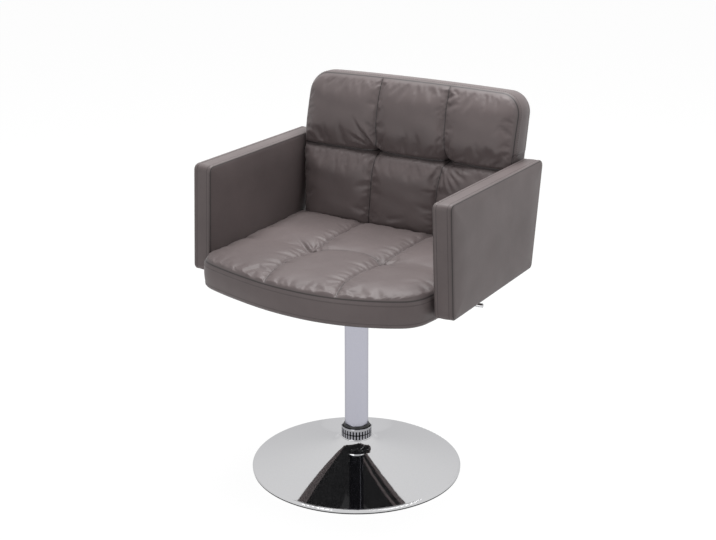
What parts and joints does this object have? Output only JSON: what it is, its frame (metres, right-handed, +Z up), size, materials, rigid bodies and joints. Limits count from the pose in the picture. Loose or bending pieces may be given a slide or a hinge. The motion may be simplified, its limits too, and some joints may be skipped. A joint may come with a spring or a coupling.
{
  "type": "swivel dining chair",
  "caption": "Upholstered swivel dining chair with box arms, tufted seat and back, and a height-adjustable column on a round chrome trumpet base.",
  "frame": {"origin": "on the floor under the column, at the centre of the base's underside", "axes": "+Z up along the column, -Y towards the front of the seat, +X towards the height lever's side"},
  "size_m": [0.581, 0.5325, 0.7669],
  "materials": {
    "base_chrome": "mirror polished",
    "trim_chrome": "mirror polished",
    "column_chrome": "mirror polished",
    "knurl_chrome": "polished, dark in its grooves",
    "lever_chrome": "polished",
    "floor_rubber": "matt",
    "black_steel": "satin black paint",
    "plate_paint": "black powder coat",
    "cylinder_paint": "smooth black paint",
    "zinc_screws": "zinc plated",
    "plain_steel": "ground steel",
    "brass_cage": "plain",
    "black_plastic": "moulded, fine texture",
    "plywood": "bare plywood",
    "beech": "bare beech",
    "black_cloth": "thin black cloth",
    "seat_leather": "taupe grey leather, satin",
    "back_leather": "taupe grey leather, satin",
    "arm_leather": "taupe grey leather, satin"
  },
  "bodies": {
    "base": {"base_shell": "base_chrome", "floor_pad": "floor_rubber", "ballast_plate": "black_steel", "base_hub": "black_steel", "hub_screws": "zinc_screws", "neck_lip_ring": "trim_chrome", "knurled_ring": "knurl_chrome", "collar_cup": "trim_chrome", "tube_seal": "black_plastic", "stand_tube": "column_chrome", "tube_foot": "plain_steel", "guide_bush": "black_plastic", "bearing_lower_race": "plain_steel"},
    "spindle": {"piston_rod": "plain_steel", "piston_head": "black_plastic", "rod_clip": "plain_steel", "bearing_upper_race": "plain_steel", "bearing_balls": "plain_steel", "bearing_cage": "brass_cage", "bump_washer": "floor_rubber"},
    "seat": {"arm_board_left": "plywood", "arm_board_right": "plywood", "arm_bolts_left": "zinc_screws", "arm_bolts_right": "zinc_screws", "arm_inner_panel_left": "arm_leather", "arm_inner_panel_right": "arm_leather", "arm_inserts_left": "zinc_screws", "arm_inserts_right": "zinc_screws", "arm_pad_left": "arm_leather", "arm_pad_right": "arm_leather", "back_board": "plywood", "back_bracket_left": "plate_paint", "back_bracket_right": "plate_paint", "back_pad": "back_leather", "back_rear_panel": "back_leather", "bracket_screws": "zinc_screws", "cylinder_gland": "plain_steel", "gas_cylinder": "cylinder_paint", "lever_pin": "zinc_screws", "plate_screws": "zinc_screws", "plate_tee_nuts": "zinc_screws", "seat_board": "plywood", "seat_cushion": "seat_leather", "seat_plate": "plate_paint", "seat_rail_left": "beech", "seat_rail_right": "beech", "taper_socket": "plate_paint", "underside_cover": "black_cloth"},
    "lever": {"lever_rod": "lever_chrome"},
    "valve": {"valve_pin": "plain_steel"}
  },
  "joints": [
    {"name": "swivel", "type": "hinge", "parent": "base", "child": "spindle", "pos_m": [0, 0, 0.02], "axis": [0, 0, 1], "continuous": true},
    {"name": "height", "type": "slide", "parent": "spindle", "child": "seat", "axis": [0, 0, 1], "range_m": [0, 0.12]},
    {"name": "lever", "type": "hinge", "parent": "seat", "child": "lever", "pos_m": [0.06, 0, 0.396], "axis": [0, -1, 0], "range_deg": [0, 2.4], "stiffness_Nm_per_rad": 30, "springref_deg": -1.15},
    {"name": "valve", "type": "slide", "parent": "seat", "child": "valve", "axis": [0, 0, -1], "range_m": [0, 0.0026]}
  ],
  "couplings": [
    {"joint": "valve", "follows": "lever", "m_per_rad": 0.06}
  ]
}
